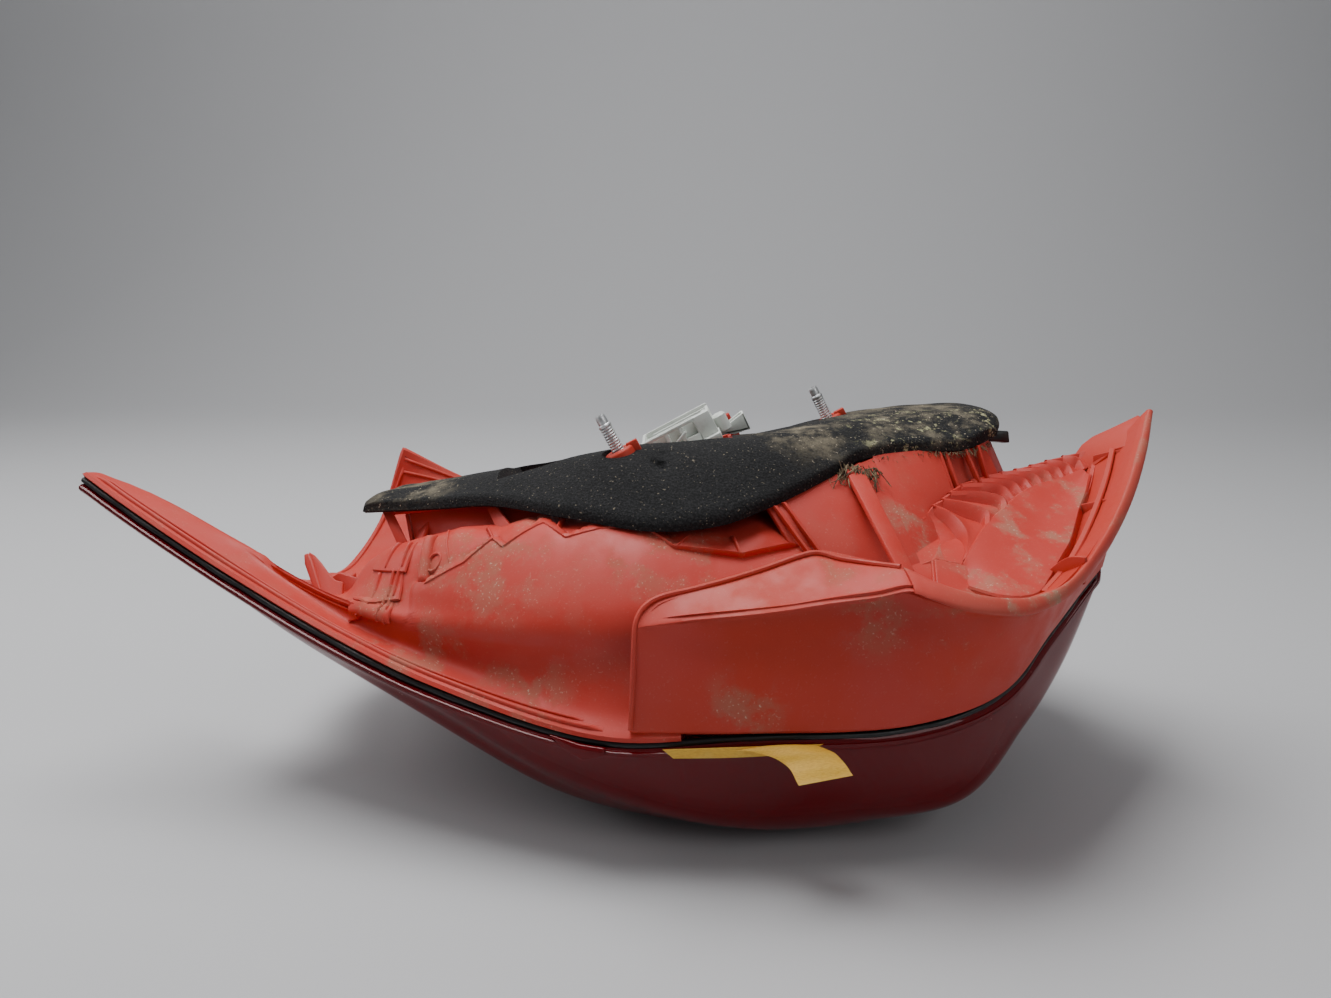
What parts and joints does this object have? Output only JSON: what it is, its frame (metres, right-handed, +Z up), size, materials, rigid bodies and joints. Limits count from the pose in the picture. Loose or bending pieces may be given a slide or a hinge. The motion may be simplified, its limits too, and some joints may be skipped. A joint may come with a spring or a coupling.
{
  "type": "car rear lamp cluster",
  "caption": "Corner tail lamp of a hatchback: curved red lens on a moulded housing, with foam gasket, studs and a bulb carrier that pulls out.",
  "frame": {"origin": "on the bench, under the middle of the lamp's bounding box, with the lamp lying on its lens", "axes": "+X along the lamp from the long arm to the raised wing, +Y across it from the side panel to the far rim, +Z up"},
  "size_m": [0.5054, 0.2566, 0.1777],
  "materials": {
    "lens_red": "gloss",
    "housing_red": "satin moulded",
    "seal_black": "matte",
    "foam_black": "foam",
    "zinc": "zinc plated",
    "carrier_grey": "satin moulded",
    "brass": "bright",
    "reflector_chrome": "metallised",
    "bulb_glass": "clear",
    "optic_clear": "clear",
    "optic_red": "gloss",
    "tape_yellow": "matte"
  },
  "bodies": {
    "lamp": {"outer_lens": "lens_red", "lens_seal": "seal_black", "rear_housing": "housing_red", "reflector": "reflector_chrome", "brake_light_optic": "optic_red", "indicator_optic": "optic_clear", "reflex_reflector": "optic_red", "foam_gasket": "foam_black", "stud_left": "zinc", "stud_right": "zinc", "breather_cap": "seal_black", "marking_tape": "tape_yellow"},
    "carrier": {"bulb_carrier": "carrier_grey", "connector_pin_1": "brass", "connector_pin_2": "brass", "connector_pin_3": "brass", "connector_pin_4": "brass", "connector_pin_5": "brass", "contact_strip_feed": "brass", "contact_strip_earth": "brass"},
    "latch_left": {"carrier_latch_left": "carrier_grey"},
    "latch_right": {"carrier_latch_right": "carrier_grey"},
    "brake_tail_bulb": {"brake_tail_bulb_cap": "brass", "brake_tail_bulb_glass": "bulb_glass"},
    "indicator_bulb": {"indicator_bulb_cap": "brass", "indicator_bulb_glass": "bulb_glass"},
    "reversing_bulb": {"reversing_bulb_cap": "brass", "reversing_bulb_glass": "bulb_glass"}
  },
  "joints": [
    {"name": "carrier_pull", "type": "slide", "parent": "lamp", "child": "carrier", "axis": [-0.4695, 0, 0.8829], "range_m": [0, 0.07]},
    {"name": "latch_left_squeeze", "type": "hinge", "parent": "carrier", "child": "latch_left", "pos_m": [-0.03651, 0.01195, 0.11768], "axis": [0, 1, 0], "range_deg": [0, 5], "stiffness_Nm_per_rad": 0.3},
    {"name": "latch_right_squeeze", "type": "hinge", "parent": "carrier", "child": "latch_right", "pos_m": [0.04119, 0.01195, 0.159], "axis": [0, -1, 0], "range_deg": [0, 5], "stiffness_Nm_per_rad": 0.3},
    {"name": "brake_tail_bulb_turn", "type": "hinge", "parent": "carrier", "child": "brake_tail_bulb", "pos_m": [-0.01837, 0.01195, 0.11125], "axis": [-0.4695, 0, 0.8829], "range_deg": [0, 20]},
    {"name": "indicator_bulb_turn", "type": "hinge", "parent": "carrier", "child": "indicator_bulb", "pos_m": [0.00901, 0.01195, 0.1258], "axis": [-0.4695, 0, 0.8829], "range_deg": [0, 20]},
    {"name": "reversing_bulb_turn", "type": "hinge", "parent": "carrier", "child": "reversing_bulb", "pos_m": [0.03638, 0.01195, 0.14036], "axis": [-0.4695, 0, 0.8829], "range_deg": [0, 20]}
  ]
}
